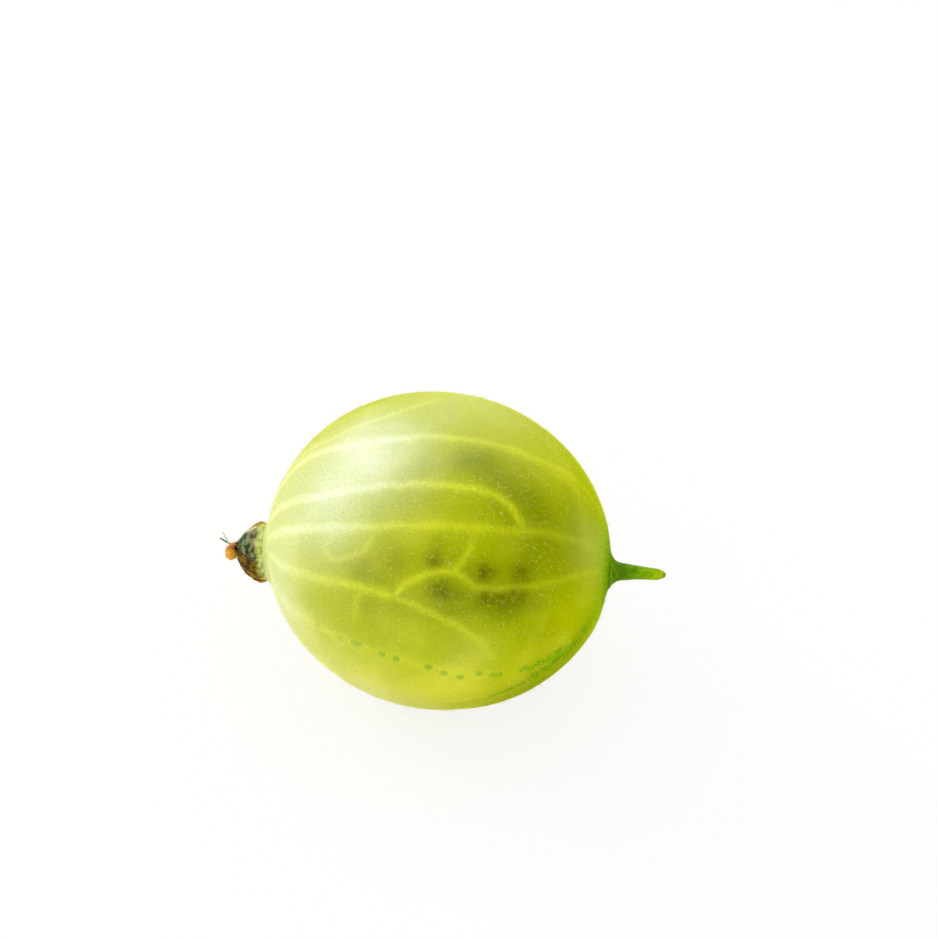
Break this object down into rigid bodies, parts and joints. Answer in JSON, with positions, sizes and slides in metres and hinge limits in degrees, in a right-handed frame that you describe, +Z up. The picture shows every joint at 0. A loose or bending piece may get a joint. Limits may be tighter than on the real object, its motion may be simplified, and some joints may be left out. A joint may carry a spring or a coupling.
{
  "type": "gooseberry",
  "caption": "Ripe green gooseberry as picked, lying on its side, with a short stalk at one end and the dried flower at the other.",
  "frame": {"origin": "centre of the small flat spot that the berry lies on", "axes": "+X along the berry towards the stalk, -X towards the dried flower, +Z up, -Z out of the flat spot"},
  "size_m": [0.0291, 0.0206, 0.0204],
  "materials": {
    "skin": "satin",
    "stalk": "satin",
    "dried_flower": "matte",
    "dried_sepal": "matte",
    "withered_tip": "satin",
    "fibre": "matte"
  },
  "bodies": {
    "root": {"berry": "skin", "stalk": "stalk", "flower_tube": "dried_flower", "sepal_1": "dried_sepal", "sepal_2": "dried_sepal", "sepal_3": "dried_sepal", "sepal_4": "dried_sepal", "sepal_5": "dried_sepal", "withered_tip": "withered_tip", "style_1": "fibre", "style_2": "fibre"}
  },
  "joints": []
}
